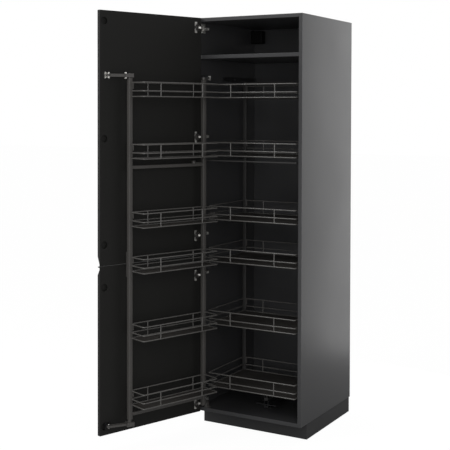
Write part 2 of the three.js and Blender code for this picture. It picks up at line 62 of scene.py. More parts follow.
ahead = Vector((-math.sin(YAW) * math.cos(PITCH), math.cos(YAW) * math.cos(PITCH), -math.sin(PITCH)))
level = Vector((math.cos(YAW), math.sin(YAW), 0))
above = level.cross(ahead)
right = math.cos(ROLL) * level + math.sin(ROLL) * above
up = -math.sin(ROLL) * level + math.cos(ROLL) * above
camera = bpy.data.objects.new("camera", bpy.data.cameras.new("camera"))
bpy.context.scene.collection.objects.link(camera)
camera.matrix_world = Matrix.Translation(EYE) @ Matrix((right, up, -ahead)).transposed().to_4x4()
camera.data.lens = LENS
camera.data.sensor_width = 36
camera.data.shift_x = -0.0476
camera.data.shift_y = -0.2039
camera.data.clip_end = 60
bpy.context.scene.camera = camera
bpy.context.scene.view_settings.view_transform = "Standard"

world = bpy.data.worlds.new("white_room")
world.use_nodes = True
sky = world.node_tree
sky.nodes["Background"].inputs["Color"].default_value = (1, 1, 1, 1)
seen = sky.nodes.new("ShaderNodeLightPath")
room_light = sky.nodes.new("ShaderNodeMapRange")
room_light.inputs["To Min"].default_value = 0.42
room_light.inputs["To Max"].default_value = 1.0
sky.links.new(seen.outputs["Is Camera Ray"], room_light.inputs["Value"])
sky.links.new(room_light.outputs["Result"], sky.nodes["Background"].inputs["Strength"])
bpy.context.scene.world = world


def soft_box(name, place, target, size, radiance):
    """A soft box that size at a place, facing a target point, as bright as asked for."""
    lamp = bpy.data.lights.new(name, "AREA")
    lamp.shape = "RECTANGLE"
    lamp.size, lamp.size_y = size
    lamp.energy = 4 * size[0] * size[1] * radiance
    box = bpy.data.objects.new(name, lamp)
    box.location = place
    box.rotation_euler = (Vector(target) - Vector(place)).to_track_quat("-Z", "Y").to_euler()
    box.visible_camera = False
    bpy.context.scene.collection.objects.link(box)


soft_box("back_right_box", (0.57, 1.45, 1.30), (0.3, 0.3, 1.30), (0.70, 2.50), 1.27)
soft_box("left_box", (-3.2, -1.3, 1.60), (-0.5, -0.7, 1.40), (1.6, 2.2), 0.7)
soft_box("front_box", (2.2, -3.6, 1.7), (0.0, 0.0, 1.0), (2.2, 2.2), 2.2)
soft_box("low_front_box", (0.1, -3.6, 0.45), (0.1, 0.1, 0.25), (1.8, 0.7), 1.7)
soft_box("high_left_box", (-1.5, -2.7, 3.5), (0.1, -0.1, 1.0), (1.0, 1.0), 7.0)


def shader(name, base, roughness, metallic=0.0, specular=0.5):
    """A new material whose Principled shader has these plain values, and its node tree."""
    material = bpy.data.materials.new(name)
    material.use_nodes = True
    principled = material.node_tree.nodes["Principled BSDF"]
    principled.inputs["Base Color"].default_value = (*base, 1)
    principled.inputs["Roughness"].default_value = roughness
    principled.inputs["Metallic"].default_value = metallic
    principled.inputs["Specular IOR Level"].default_value = specular
    material.diffuse_color = (*base, 1)
    return material, material.node_tree, principled


floor_mesh = bpy.data.meshes.new("floor")
floor_mesh.from_pydata([(-30, -30, 0), (30, -30, 0), (30, 30, 0), (-30, 30, 0)], [], [(0, 1, 2, 3)])
floor = bpy.data.objects.new("floor", floor_mesh)
bpy.context.scene.collection.objects.link(floor)
sheet, tree, matte = shader("white_floor", (0.48, 0.48, 0.48), 0.8, specular=0.1)
lit = tree.nodes.new("ShaderNodeEmission")
lit.inputs["Strength"].default_value = 1.12
seen = tree.nodes.new("ShaderNodeLightPath")
share = tree.nodes.new("ShaderNodeMapRange")
share.inputs["To Max"].default_value = 0.86
blend = tree.nodes.new("ShaderNodeMixShader")
tree.links.new(seen.outputs["Is Camera Ray"], share.inputs["Value"])
tree.links.new(share.outputs["Result"], blend.inputs[0])
tree.links.new(matte.outputs[0], blend.inputs[1])
tree.links.new(lit.outputs[0], blend.inputs[2])
tree.links.new(blend.outputs[0], tree.nodes["Material Output"].inputs["Surface"])
floor_mesh.materials.append(sheet)


# ---- Carcass boards ----
# Two sides, top, bottom, a thin back and one fixed shelf, of chipboard with an anthracite
# laminate and edge bands of the same colour. Every edge is eased by about half a millimetre.

MM = 0.001
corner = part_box("left_side_panel")[0]


def in_frame(points):
    """Cabinet millimetres, from the left side's front lower edge on the floor, to frame metres."""
    points = np.asarray(points, float) * MM
    return points + np.array([corner.x, corner.y, 0])


def in_cabinet(point):
    """A frame point in metres as cabinet millimetres."""
    return (np.array(point, float) - np.array([corner.x, corner.y, 0])) / MM


def box_mm(node):
    """A CAD node's two box corners in cabinet millimetres."""
    return [in_cabinet(point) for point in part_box(node)]


def loft(rings, closed=False):
    """A skin over a stack of closed rings (ring, point, xyz), with a flat cap on both ends.

    When closed, the last ring joins the first instead of being capped, as in a tube's wall.
    """
    rings = np.asarray(rings, float)
    here = np.arange(rings.shape[0] * rings.shape[1]).reshape(rings.shape[:2])
    after = np.roll(here, -1, axis=1)
    quads = np.stack([here, after, np.roll(after, -1, axis=0), np.roll(here, -1, axis=0)], axis=-1)
    if closed:
        return rings.reshape(-1, 3), quads.reshape(-1, 4).tolist()
    sides = quads[:-1].reshape(-1, 4).tolist()
    return rings.reshape(-1, 3), [*sides, here[0][::-1].tolist(), here[-1].tolist()]


def slab(outline, z0, z1):
    """A plan outline carried from z0 up to z1."""
    return loft([[(x, y, z) for x, y in outline] for z in (z0, z1)])


def board(low, high, arris):
    """A box with quarter-round edges: rounded rectangles stacked from low to high in Z.

    Each rectangle is drawn in by arris * (1 - sin a) at a height of arris * (1 - cos a), and a
    narrow flat strip runs beside every round edge. Returns the skin and a mark of 1 on the edges.
    """
    strip = 4 * arris
    a = np.linspace(0, math.pi / 2, 4)
    inset = np.concatenate([[arris + strip], arris * (1 - np.sin(a)), [0]])
    rise = np.concatenate([[0], arris * (1 - np.cos(a)), [arris + strip]])
    mark = np.concatenate([[0], np.ones(4), [0]])
    inset = np.concatenate([inset, inset[::-1]])
    z = np.concatenate([low[2] + rise, high[2] - rise[::-1]])
    mark = np.concatenate([mark, mark[::-1]])
    turn = np.concatenate([[0], a, [math.pi / 2]])
    first = strip * (np.arange(6) == 0)
    last = strip * (np.arange(6) == 5)
    rings = []
    edge = []
    for quarter in range(4):
        c, s = math.cos(quarter * math.pi / 2), math.sin(quarter * math.pi / 2)
        x = (high[0] if c - s > 0 else low[0])
        y = (high[1] if c + s > 0 else low[1])
        way = np.array([c - s, c + s])
        radius = np.maximum(arris - inset, 0)[:, None]
        centre = np.maximum(inset, arris)[:, None]
        arc_x = np.cos(turn + quarter * math.pi / 2)[None] * radius
        arc_y = np.sin(turn + quarter * math.pi / 2)[None] * radius
        # The strip points run back along the side that ends here, and on along the next one.
        px = x - way[0] * centre + arc_x + (s * first - c * last)[None]
        py = y - way[1] * centre + arc_y + (-c * first - s * last)[None]
        rings.append(np.stack([px, py, np.broadcast_to(z[:, None], px.shape)], axis=-1))
        side = np.where(first + last > 0, 0.0, 1.0)
        edge.append(np.maximum(np.broadcast_to(side, px.shape), mark[:, None]))
    return loft(np.concatenate(rings, axis=1)), np.concatenate(edge, axis=1).reshape(-1)


SHARP = math.radians(38)
WELD = 1e-7


def piece(name, skins, material, body, nodes=(), marks=None, round_edges=0.0, where=in_frame):
    """One object from several skins, riding on a body and standing for nodes.

    The skins are in millimetres, and where turns their points into frame metres. marks is a number
    per point kept as the attribute edge. round_edges, in millimetres, puts a live Bevel on it.
    """
    points = np.concatenate([where(skin[0]) for skin in skins])
    starts = np.cumsum([0] + [len(skin[0]) for skin in skins[:-1]])
    faces = [[i + start for i in face] for skin, start in zip(skins, starts) for face in skin[1]]
    mesh = bpy.data.meshes.new(name)
    mesh.from_pydata(points.tolist(), [], faces)
    if marks is not None:
        mesh.attributes.new("edge", "FLOAT", "POINT").data.foreach_set("value", marks.astype(np.float32))
    shape = bmesh.new()
    shape.from_mesh(mesh)
    bmesh.ops.remove_doubles(shape, verts=shape.verts, dist=WELD)
    bmesh.ops.dissolve_degenerate(shape, edges=shape.edges, dist=WELD)
    bmesh.ops.recalc_face_normals(shape, faces=shape.faces)
    shape.to_mesh(mesh)
    shape.free()
    mesh.polygons.foreach_set("use_smooth", [True] * len(mesh.polygons))
    mesh.set_sharp_from_angle(angle=SHARP)
    mesh.materials.append(material)
    made = bpy.data.objects.new(name, mesh)
    bpy.context.scene.collection.objects.link(made)
    if round_edges:
        bevel = made.modifiers.new("round_edges", "BEVEL")
        bevel.width = round_edges * MM
        bevel.segments = 2
        bevel.limit_method = "ANGLE"
        bevel.angle_limit = SHARP
        bevel.harden_normals = True
    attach(made, body)
    if nodes:
        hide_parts(*nodes)
    return made


def group(name, label, value, output):
    """A shader node group with one float input and one output, its tree and its two end nodes."""
    tree = bpy.data.node_groups.new(name, "ShaderNodeTree")
    socket = tree.interface.new_socket(label, in_out="INPUT", socket_type="NodeSocketFloat")
    socket.default_value = value
    tree.interface.new_socket(output, in_out="OUTPUT", socket_type="NodeSocketFloat")
    return tree, tree.nodes.new("NodeGroupInput"), tree.nodes.new("NodeGroupOutput")


def add(tree, kind, options=None, **inputs):
    """A node with its options set and its inputs given as values or as the sockets they come from."""
    made = tree.nodes.new(kind)
    for label, value in (options or {}).items():
        setattr(made, label, value)
    for label, value in inputs.items():
        numbered = label[0] == "i" and label[1:].isdigit()
        socket = made.inputs[int(label[1:]) if numbered else label]
        if isinstance(value, bpy.types.NodeSocket):
            tree.links.new(value, socket)
        else:
            socket.default_value = value
    return made


def use(tree, made, **inputs):
    """A node group placed in a material with its own values."""
    placed = add(tree, "ShaderNodeGroup", {"node_tree": made})
    for label, value in inputs.items():
        placed.inputs[label].default_value = value
    return placed


def mixed(tree, mask, low, high):
    """A colour that goes from low to high with the mask."""
    mix = add(tree, "ShaderNodeMix", {"data_type": "RGBA"}, Factor=mask)
    mix.inputs[6].default_value = (*low, 1)
    mix.inputs[7].default_value = (*high, 1)
    return mix.outputs[2]


def between(tree, value, low, high):
    """A value from 0..1 spread to low..high."""
    spread = add(tree, "ShaderNodeMapRange", Value=value)
    spread.inputs["To Min"].default_value = low
    spread.inputs["To Max"].default_value = high
    return spread.outputs["Result"]


# Edge wear: the edge mark broken up by a coarse noise, so that only parts of an edge are rubbed.
edge_wear, ends_in, ends_out = group("edge_wear", "Amount", 0.5, "Mask")
mark_node = add(edge_wear, "ShaderNodeAttribute", {"attribute_name": "edge"})
place = add(edge_wear, "ShaderNodeTexCoord")
patches = add(edge_wear, "ShaderNodeTexNoise", Vector=place.outputs["Object"], Scale=38.0, Detail=4.0)
rubbed = between(edge_wear, patches.outputs[0], -0.6, 1.3)
shown = add(edge_wear, "ShaderNodeMath", {"operation": "MULTIPLY", "use_clamp": True},
            i0=mark_node.outputs["Fac"], i1=rubbed)
strength = add(edge_wear, "ShaderNodeMath", {"operation": "MULTIPLY", "use_clamp": True},
               i0=shown.outputs[0], i1=ends_in.outputs["Amount"])
edge_wear.links.new(strength.outputs[0], ends_out.inputs["Mask"])


def noise_group(name, scale, output, stretch=None, spread=None, **settings):
    """A node group of one noise in Object coordinates, with its scale as an input.

    stretch scales the coordinates first, and spread widens the noise's 0..1 to low..high.
    """
    tree, start, end = group(name, "Scale", scale, output)
    vector = add(tree, "ShaderNodeTexCoord").outputs["Object"]
    if stretch:
        vector = add(tree, "ShaderNodeMapping", Vector=vector, Scale=stretch).outputs[0]
    noise = add(tree, "ShaderNodeTexNoise", Vector=vector, **settings)
    tree.links.new(start.outputs["Scale"], noise.inputs["Scale"])
    value = between(tree, noise.outputs[0], *spread) if spread else noise.outputs[0]
    tree.links.new(value, end.inputs[output])
    return tree


# Wiped surface: broad soft clouds, as cleaning and handling leave, for roughness and tone.
# Foil grain: short upright pores, from a noise stretched fourteen times along Z.
wiped = noise_group("wiped_surface", 3.0, "Clouds", spread=(-0.35, 1.35), Detail=5.0, Roughness=0.55)
foil_grain = noise_group("foil_grain", 900.0, "Height", stretch=(1.0, 1.0, 0.07), Detail=3.0)


def clouded(tree, principled, base, roughness, scale, tones, glosses):
    """Soft clouds in tone and gloss: the base colour times, and the roughness plus, two ends."""
    cloud = use(tree, wiped, Scale=scale)
    low, high = (tuple(tone * value for value in base) for tone in tones)
    tone = mixed(tree, cloud.outputs["Clouds"], low, high)
    tree.links.new(tone, principled.inputs["Base Color"])
    gloss = between(tree, cloud.outputs["Clouds"], roughness + glosses[0], roughness + glosses[1])
    tree.links.new(gloss, principled.inputs["Roughness"])
    return tone


def relief(tree, principled, height, strength, depth):
    """A bump of that depth in metres from a height socket."""
    bump = add(tree, "ShaderNodeBump", Strength=strength, Distance=depth, Height=height)
    tree.links.new(bump.outputs[0], principled.inputs["Normal"])


def laminate(name, base, worn, roughness, specular):
    """A foiled board: pores in the foil, soft clouds in tone and gloss, and rubbed edges."""
    material, tree, principled = shader(name, base, roughness, specular=specular)
    tone = clouded(tree, principled, base, roughness, 2.6, (0.9, 1.08), (-0.04, 0.05))
    wear = use(tree, edge_wear, Amount=0.45)
    rubbed = add(tree, "ShaderNodeMix", {"data_type": "RGBA"}, Factor=wear.outputs["Mask"])
    tree.links.new(tone, rubbed.inputs[6])
    rubbed.inputs[7].default_value = (*worn, 1)
    tree.links.new(rubbed.outputs[2], principled.inputs["Base Color"])
    grain = use(tree, foil_grain, Scale=900.0)
    relief(tree, principled, grain.outputs["Height"], 0.25, 0.00008)
    return material


anthracite = laminate("anthracite_laminate", (0.046, 0.046, 0.048), (0.09, 0.09, 0.09), 0.36, 0.5)

EASED = 0.5
for node in ("left_side_panel", "right_side_panel", "top_panel", "bottom_panel", "back_panel",
             "fixed_shelf"):
    skin, edge = board(*box_mm(node), EASED)
    piece(node + "_board", [skin], anthracite, "cabinet", [node], edge)


# ---- Plinth boards ----
# Three black foiled boards clipped to the legs, the front one set well back under the doors.

plinth_foil = laminate("black_plinth_foil", (0.040, 0.040, 0.041), (0.07, 0.07, 0.07), 0.56, 0.25)

for node in ("front_plinth", "left_plinth", "right_plinth"):
    skin, edge = board(*box_mm(node), EASED)
    piece(node + "_board", [skin], plinth_foil, "cabinet", [node], edge)


# ---- Legs ----
# Four round plastic legs screwed up under the bottom board, each with a wide foot, a ribbed
# adjusting ring and a flange.

def turned(profile, axis_point, sides=32):
    """A solid of revolution about an upright axis: each (radius, height) swept round a circle."""
    profile = np.asarray(profile, float)
    a = np.arange(sides) * 2 * math.pi / sides
    rings = np.stack([
        axis_point[0] + profile[:, :1] * np.cos(a),
        axis_point[1] + profile[:, :1] * np.sin(a),
        np.broadcast_to(profile[:, 1:], (len(profile), sides)),
    ], axis=-1)
    return rings


# Moulded plastic: a fine even spark texture.
spark = noise_group("spark_texture", 2200.0, "Height", Detail=2.0)


def textured(name, base, roughness, metallic, specular, depth, scale):
    """A moulded or powder-coated finish: fine texture in the bump, clouds in tone and gloss."""
    material, tree, principled = shader(name, base, roughness, metallic, specular)
    clouded(tree, principled, base, roughness, 6.0, (0.9, 1.1), (-0.05, 0.06))
    skin = use(tree, spark, Scale=scale)
    relief(tree, principled, skin.outputs["Height"], 0.3, depth)
    return material


black_plastic = textured("black_plastic", (0.010, 0.010, 0.011), 0.42, 0.0, 0.4, 0.00006, 2200.0)

for node in ("leg_front_left", "leg_front_right", "leg_back_left", "leg_back_right"):
    low, high = box_mm(node)
    middle = (low + high) / 2
    top = high[2]
    profile = [(0.5, 0), (28, 0), (29.7, 1.5), (29.7, 4), (24, 7), (17, 11), (17, 26), (20, 28), (20, 38),
               (17, 40), (15, 41), (15, top - 8), (25, top - 6), (26, top - 5), (26, top), (0.5, top)]
    ring = turned(profile, middle[:2], 48)
    fluted = (np.arange(48) % 2 == 0) * 0.6
    centre = np.array([middle[0], middle[1], 0])
    ring[7:9] += (ring[7:9] - centre) * [1, 1, 0] * -fluted[None, :, None] / 20
    piece(node + "_turned", [loft(ring)], black_plastic, "cabinet", [node])


# ---- Wall hanger covers ----
# Black plastic caps clipped over the hanging fittings in the two upper back corners, with
# rounded inner edges and a small screwdriver hole low on the front.

cap_plastic = textured("matt_cap_plastic", (0.004, 0.004, 0.004), 0.6, 0.0, 0.2, 0.00006, 2200.0)

for node in ("left_hanger_cover", "right_hanger_cover"):
    low, high = box_mm(node)
    skin, edge = board(low, high, 3)
    wall = 1 if node.startswith("left") else -1
    centre = ((low[0] + high[0]) / 2 + 12 * wall, low[1], low[2] + 16)
    a = np.arange(24) * 2 * math.pi / 24
    radius = np.array([5.5, 5.5, 4.3, 3.6])[:, None]
    deep = np.array([0.4, -0.8, -0.8, 0.4])[:, None]
    rings = np.stack([centre[0] + radius * np.cos(a), centre[1] + deep + 0 * a,
                      centre[2] + radius * np.sin(a)], axis=-1)
    lip = loft(rings)
    piece(node + "_cap", [skin, lip], cap_plastic, "cabinet", [node])


# ---- Doors ----
# Two near-black foiled boards that turn as one, with a bevelled finger grip where they meet and
# 35 mm cup holes at both edges, so that they can hang on either side.

joints = {joint["name"]: joint for joint in frame["joints"]}
OPEN_BY = math.radians(joints["front_frame_swing"]["range_deg"][1])
cup_pivot = in_cabinet(joints["door_swing"]["pos_m"])[:2]
CUP_PIVOT_ON_DOOR = np.array([11.5, 17.0])
DOOR_WIDTH = 597
DOOR_THICKNESS = 20
FITTING = DOOR_THICKNESS + 0.3  # the underside of the fittings on the door's inner face
SPLIT = 880
HINGE_HEIGHTS = (2029, 1478, 980, 779, 123)
CUP_FROM_EDGE = 24
CUP_RADIUS = 17.5
CUP_DEPTH = 12.5
along_door = np.array([math.cos(-OPEN_BY), math.sin(-OPEN_BY)])
into_room = np.array([-along_door[1], along_door[0]])
door_corner = cup_pivot - CUP_PIVOT_ON_DOOR[0] * along_door - CUP_PIVOT_ON_DOOR[1] * into_room


def placer(origin, along, across):
    """A function from millimetres (along, across, up) at a plan point to frame metres."""
    def where(points):
        points = np.asarray(points, float)
        plan = origin + points[..., :1] * along + points[..., 1:2] * across
        return in_frame(np.concatenate([plan, points[..., 2:]], axis=-1))
    return where


# Door millimetres: along from the hinge edge, in from the outer face, and up.
on_door = placer(door_corner, along_door, into_room)


def door_board(outline, bottom, top):
    """A door: the outline across its thickness run along its width, with cup holes inside.

    The inner face is a flat polygon with a round hole at each cup, and each hole has a straight
    wall and a flat floor.
    """
    outline = np.asarray(outline, float)
    ends = [np.column_stack([np.full(len(outline), x), outline]) for x in (0, DOOR_WIDTH)]
    skin, sides = loft(np.stack(ends))
    inner = [k for k in range(len(outline))
             if outline[k][0] == DOOR_THICKNESS and outline[(k + 1) % len(outline)][0] == DOOR_THICKNESS]
    faces = [face for index, face in enumerate(sides) if index not in inner]
    a = np.arange(40) * 2 * math.pi / 40
    cups = [(x, z) for z in HINGE_HEIGHTS if bottom < z < top
            for x in (CUP_FROM_EDGE, DOOR_WIDTH - CUP_FROM_EDGE)]
    loops = [np.array([(0, DOOR_THICKNESS, bottom), (DOOR_WIDTH, DOOR_THICKNESS, bottom),
                       (DOOR_WIDTH, DOOR_THICKNESS, top), (0, DOOR_THICKNESS, top)], float)]
    skins = []
    for x, z in cups:
        circle = np.stack([x + CUP_RADIUS * np.cos(a), np.full(40, float(DOOR_THICKNESS)),
                           z + CUP_RADIUS * np.sin(a)], axis=-1)
        loops.append(circle)
        floor_ring = circle - [0, CUP_DEPTH, 0]
        wall, wall_faces = loft(np.stack([floor_ring, circle]))
        skins.append((wall, wall_faces[:-1]))
    flat = [[Vector((p[0], p[2], 0)) for p in loop] for loop in loops]
    triangles = [list(face) for face in tessellate_polygon(flat)]
    skins.append((np.concatenate(loops), triangles))
    skins.append((skin, faces))
    return skins


door_foil = laminate("black_door_foil", (0.0155, 0.0152, 0.0142), (0.045, 0.045, 0.043), 0.5, 0.22)

bottom_of_doors = box_mm("lower_door")[0][2]
top_of_doors = box_mm("upper_door")[1][2]
upper_edge = SPLIT + 1.1
lower_edge = SPLIT - 0.9
GRIP = 16
upper_outline = [(0, top_of_doors), (0, upper_edge + 45), (GRIP, upper_edge + 9), (GRIP, upper_edge),
                 (DOOR_THICKNESS, upper_edge), (DOOR_THICKNESS, top_of_doors)]
lower_outline = [(0, bottom_of_doors), (DOOR_THICKNESS, bottom_of_doors), (DOOR_THICKNESS, lower_edge),
                 (3, lower_edge), (3, lower_edge - 5), (GRIP, lower_edge - 5), (GRIP, lower_edge - 14),
                 (0, lower_edge - 41)]
piece("upper_door_board", door_board(upper_outline, upper_edge, top_of_doors), door_foil, "door",
      ["upper_door"], where=on_door)
piece("lower_door_board", door_board(lower_outline, bottom_of_doors, lower_edge), door_foil, "door",
      ["lower_door"], where=on_door)


# ---- Plate that joins the two doors ----
# A flat coated steel strip screwed across the joint between the two boards.

def plate(low, high):
    """A plain box as a skin, for parts whose edges are then rounded by a Bevel."""
    ring = [(low[0], low[1]), (high[0], low[1]), (high[0], high[1]), (low[0], high[1])]
    return slab(ring, low[2], high[2])


def screw_head(centre, normal_axis, radius, height):
    """A pan head: a low dome with a cross recess, standing on an axis-aligned face.

    The dome's radius falls as the cosine of its rise, and the recess pulls its middle rings down
    where four lobes of the angle are high.
    """
    a = np.arange(24) * 2 * math.pi / 24
    lobes = np.clip(np.cos(4 * a) * 2, 0, 1)
    radii = np.array([1.0, 0.97, 0.85, 0.6, 0.5, 0.18])[:, None] * radius
    rise = np.array([0.0, 0.45, 0.85, 1.0, 1.0, 1.0])[:, None] * height
    sunk = np.array([0, 0, 0, 0, 0.35, 1.0])[:, None] * height * 0.7 * np.maximum(lobes, 0.25)
    u = radii * np.cos(a)
    v = radii * np.sin(a)
    w = rise - sunk
    axis = abs(normal_axis) - 1
    sign = 1 if normal_axis > 0 else -1
    coordinates = [u, v]
    coordinates.insert(axis, w * sign)
    return loft(np.stack(coordinates, axis=-1) + np.asarray(centre, float))


powder_coat = textured("anthracite_powder_coat", (0.074, 0.070, 0.066), 0.38, 0.0, 0.5, 0.00005, 1500.0)

STRIP_X = 445
STRIP_FOOT, STRIP_HEAD = 817, 937
strip = [plate((STRIP_X - 7, FITTING, STRIP_FOOT), (STRIP_X + 7, FITTING + 2.5, STRIP_HEAD))]
for z in (STRIP_FOOT + 10, STRIP_FOOT + 40, STRIP_HEAD - 40, STRIP_HEAD - 10):
    strip.append(screw_head((STRIP_X, FITTING + 2.4, z), 2, 4.2, 1.6))
piece("door_joining_strip", strip, powder_coat, "door", ["door_joining_plate"],
      round_edges=0.4, where=on_door)


# ---- Concealed hinges ----
# Five nickel-plated hinges: a pressed cup with two screw ears in the door, a curved link, and
# a channel-shaped arm clipped to a mounting plate on the left side.

def nickel_finish():
    """Bright nickel plate: fine drawn lines in the roughness and a faint warm and cool drift."""
    material, tree, principled = shader("nickel_plate", (0.80, 0.78, 0.74), 0.34, 0.85)
    cloud = use(tree, wiped, Scale=30.0)
    tone = mixed(tree, cloud.outputs["Clouds"], (0.76, 0.74, 0.70), (0.86, 0.85, 0.82))
    tree.links.new(tone, principled.inputs["Base Color"])
    place = add(tree, "ShaderNodeTexCoord")
    drawn = add(tree, "ShaderNodeMapping", Vector=place.outputs["Object"], Scale=(1.0, 1.0, 0.05))
    lines = add(tree, "ShaderNodeTexNoise", Vector=drawn.outputs[0], Scale=2500.0, Detail=2.0)
    tree.links.new(between(tree, lines.outputs[0], 0.26, 0.44), principled.inputs["Roughness"])
    relief(tree, principled, lines.outputs[0], 0.15, 0.00003)
    return material


nickel = nickel_finish()
cup_steel = textured("pressed_cup_steel", (0.16, 0.155, 0.15), 0.42, 0.9, 0.5, 0.00003, 900.0)


def bar(path, width, height, z):
    """A flat strap of constant width along a plan path, height tall about z.

    Each path point gives a four-sided ring across the path's direction there.
    """
    path = np.asarray(path, float)
    step = np.gradient(path, axis=0)
    step /= np.linalg.norm(step, axis=1)[:, None]
    side = np.stack([-step[:, 1], step[:, 0]], axis=-1) * width / 2
    left, right_side = path + side, path - side
    low, high = z - height / 2, z + height / 2
    corners = ((left, low), (right_side, low), (right_side, high), (left, high))
    return loft(np.stack([np.column_stack([p, np.full(len(path), at)]) for p, at in corners], axis=1))


def eased(points, steps=24):
    """A smooth plan curve through a few points: a Catmull-Rom spline sampled evenly."""
    p = np.asarray(points, float)
    p = np.vstack([2 * p[0] - p[1], p, 2 * p[-1] - p[-2]])
    t = np.linspace(0, len(p) - 3, steps)
    k = np.minimum(t.astype(int), len(p) - 4)
    f = (t - k)[:, None]
    a, b, c, d = p[k], p[k + 1], p[k + 2], p[k + 3]
    return 0.5 * (2 * b + (c - a) * f + (2 * a - 5 * b + 4 * c - d) * f**2 + (3 * b - a - 3 * c + d) * f**3)


def upright(profile, where, sides=24):
    """A turned solid about the upright axis at a plan point, in cabinet millimetres."""
    return loft(turned(profile, where, sides))


def bush(where, inner, outer, z, half):
    """A short upright ring, or a pin where inner is almost nothing, of half height half about z."""
    return upright([(inner, z - half), (outer, z - half), (outer, z + half), (inner, z + half)], where)


def drum(where, radius, z, half, chamfer):
    """A solid upright cylinder with chamfered rims."""
    return upright([(0.5, z - half), (radius - chamfer, z - half), (radius, z - half + chamfer),
                    (radius, z + half - chamfer), (radius - chamfer, z + half), (0.5, z + half)], where)


arm_pivot = in_cabinet(joints["hinge_link_turn"]["pos_m"])[:2]
run = arm_pivot - cup_pivot
reach = np.linalg.norm(run)
forward = run / reach
outward = np.array([forward[1], -forward[0]])
bend = np.array([(0, 0), (1.5, 6), (8, 8.2), (21, 7.2), (reach, 0)])
link_path = cup_pivot + bend[:, :1] * forward + bend[:, 1:] * outward


EAR = 28
LOWEST_EAR = 23.5  # the lowest hinge's ears stop short of the bottom board


def cup_rings(z):
    """The cup's skin: a profile of radius and depth turned about the cup's own axis."""
    depths = [(17.2, 21.7), (17.2, 7.9), (0.5, 7.9), (0.5, 8.9), (15.4, 8.9), (16.2, 10), (16.2, 21.9)]
    profile = np.array(depths)
    a = np.arange(40) * 2 * math.pi / 40
    open_side = np.cos(a) < -0.9
    rings = np.stack([
        CUP_FROM_EDGE + profile[:, :1] * np.cos(a),
        np.broadcast_to(profile[:, 1:], (len(profile), 40)).copy(),
        z + profile[:, :1] * np.sin(a),
    ], axis=-1)
    lowered = np.minimum(rings[..., 1], 20.2)
    rings[..., 1] = np.where(open_side[None] & (rings[..., 1] > 20.2), lowered, rings[..., 1])
    return rings


for number, z in enumerate(HINGE_HEIGHTS, 1):
    cup_skin = loft(cup_rings(z), closed=True)
    far = LOWEST_EAR if z == HINGE_HEIGHTS[-1] else EAR
    ear = [(26, far), (37, far), (40, far - 3), (40, 6.5), (36.5, 6.5), (35, 10), (31, 15), (26, 18.5)]
    piece(f"hinge_cup_{number}_pressed", [cup_skin], cup_steel, "door", [f"hinge_cup_{number}"],
          round_edges=0.2, where=on_door)
    wings = []
    for side in (1, -1):
        wings.append(loft([[(x, n, z + side * dz) for x, dz in ear] for n in (FITTING, FITTING + 1.3)]))
        wings.append(screw_head((33, FITTING + 1.2, z + side * (far - 4.5)), 2, 3.6, 1.2))
    piece(f"hinge_flange_{number}", wings, nickel, "door", round_edges=0.25, where=on_door)
    strap = bar(eased(link_path), 2.6, 9, z)
    link_parts = [strap, bush(arm_pivot, 1.7, 3.6, z, 4.5), bush(cup_pivot, 0.3, 2.3, z, 4.5)]
    piece(f"hinge_link_{number}_strap", link_parts, nickel, "hinge_links", [f"hinge_link_{number}"],
          round_edges=0.2)
    base = [(18.3, 24), (20.6, 24), (20.6, 58), (18.3, 58)]
    arm_parts = [
        slab(base, z - 24, z + 24),
        plate((20.4, 34, z - 8.5), (24, 76, z + 8.5)),
        plate((31.8, 30, z - 6.6), (33.6, 74, z + 6.6)),
        bush(arm_pivot, 0.3, 1.6, z, 7.0),
        screw_head((33.4, 42, z), 1, 3.6, 1.6),
        screw_head((33.4, 66, z), 1, 4.2, 1.6),
    ]
    fork = eased([(27, 30), (29, 18), (36, 8), tuple(arm_pivot)], 12)
    for side in (-1, 1):
        cheek = z + side * 5.9
        arm_parts += [plate((23.8, 22.5, cheek - 0.7), (33.5, 74, cheek + 0.7)),
                      screw_head((20.4, 30, z + side * 17), 1, 3.6, 1.5),
                      bar(fork, 8.0, 1.8, z + side * 5.8)]
    piece(f"hinge_arm_{number}_channel", arm_parts, nickel, "cabinet", [f"hinge_arm_{number}"],
          round_edges=0.25)


# ---- Front basket frame ----
# Two square steel posts with crossbars, powder coated. The inner post hangs on two short arms
# that turn about pins in the cabinet's left front corner, and plastic caps close the tubes.

frame_pivot = in_cabinet(joints["front_frame_swing"]["pos_m"])[:2]
inner_post = frame_pivot + np.array([19.0, -66.0])
POST = 20
POST_SPACING = 442
FRAME_HEAD = 1764
FRAME_FOOT = 128
OUTER_FOOT = 146
MIDDLE_BAR = 1342
FOOT_BAR = 171
KNOB_X = 62


# Frame millimetres: along from the inner post, towards the baskets, and up.
on_front_frame = placer(inner_post, along_door, into_room)


def square_tube(start, end, size, radius=1.8):
    """A square tube with rounded corners between two points, along X, Y or Z."""
    start, end = np.asarray(start, float), np.asarray(end, float)
    axis = int(np.argmax(np.abs(end - start)))
    width, height = (size, size) if np.isscalar(size) else size
    a = np.arange(20) * 2 * math.pi / 20 + math.pi / 20
    u = np.sign(np.cos(a)) * (width / 2 - radius) + radius * np.cos(a)
    v = np.sign(np.sin(a)) * (height / 2 - radius) + radius * np.sin(a)
    cross = np.insert(np.column_stack([u, v]), axis, 0, axis=1)
    return loft(np.stack([start + cross, end + cross]))


def capped(x, y, z0, z1, size=POST):
    """An upright square tube with a thin plastic end cap standing proud of each end."""
    return [square_tube((x, y, z0 + 1.5), (x, y, z1 - 1.5), size),
            square_tube((x, y, z0), (x, y, z0 + 1.5), size - 1.6),
            square_tube((x, y, z1 - 1.5), (x, y, z1), size - 1.6)]


pivot_plan = np.array([(frame_pivot - inner_post) @ along_door, (frame_pivot - inner_post) @ into_room])


